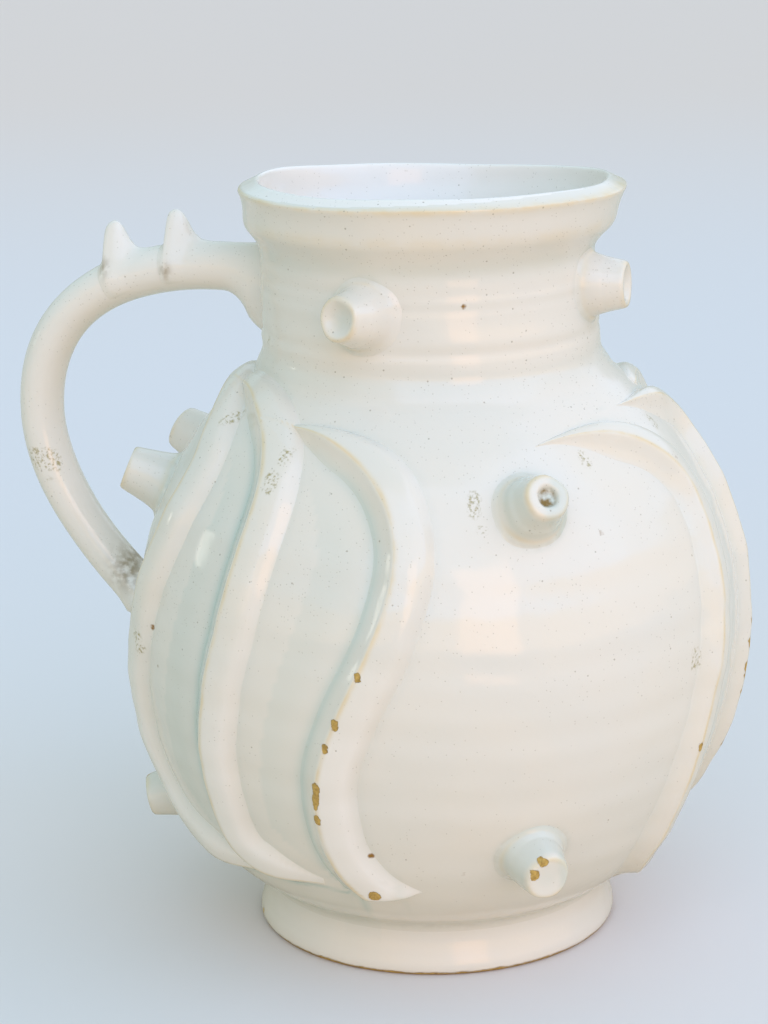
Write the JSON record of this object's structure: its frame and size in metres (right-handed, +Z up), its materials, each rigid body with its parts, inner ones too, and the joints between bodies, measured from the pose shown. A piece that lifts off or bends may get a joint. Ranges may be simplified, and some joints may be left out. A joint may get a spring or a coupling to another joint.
{
  "type": "ceramic pitcher",
  "caption": "Round-bellied glazed earthenware pitcher on a low foot, with a ringed neck, flared rim, loop handle with thorns, curved applied ribs and blunt conical studs.",
  "frame": {"origin": "centre of the foot's resting plane, on the axis the vessel was thrown about, at table height", "axes": "+Z up along the throwing axis, from foot to rim; the handle lies in the XZ plane on the -X side; -Y is the side with the front studs and the S ribs left of them"},
  "size_m": [0.2183, 0.1839, 0.2224],
  "materials": {
    "glazed_earthenware": "gloss"
  },
  "bodies": {
    "root": {"globe": "glazed_earthenware", "foot_ring": "glazed_earthenware", "neck": "glazed_earthenware", "handle": "glazed_earthenware", "thorn_outer": "glazed_earthenware", "thorn_inner": "glazed_earthenware", "rib_left_1": "glazed_earthenware", "rib_left_2": "glazed_earthenware", "rib_left_3": "glazed_earthenware", "rib_right_1": "glazed_earthenware", "rib_right_2": "glazed_earthenware", "rib_right_3": "glazed_earthenware", "rib_back_1": "glazed_earthenware", "rib_back_2": "glazed_earthenware", "rib_back_3": "glazed_earthenware", "stud_neck_front": "glazed_earthenware", "stud_neck_side": "glazed_earthenware", "stud_neck_back": "glazed_earthenware", "stud_front_upper": "glazed_earthenware", "stud_front_lower": "glazed_earthenware", "stud_handle_front": "glazed_earthenware", "stud_handle_back": "glazed_earthenware", "stud_handle_lower": "glazed_earthenware", "stud_back_upper": "glazed_earthenware", "stud_back_lower": "glazed_earthenware"}
  },
  "joints": []
}
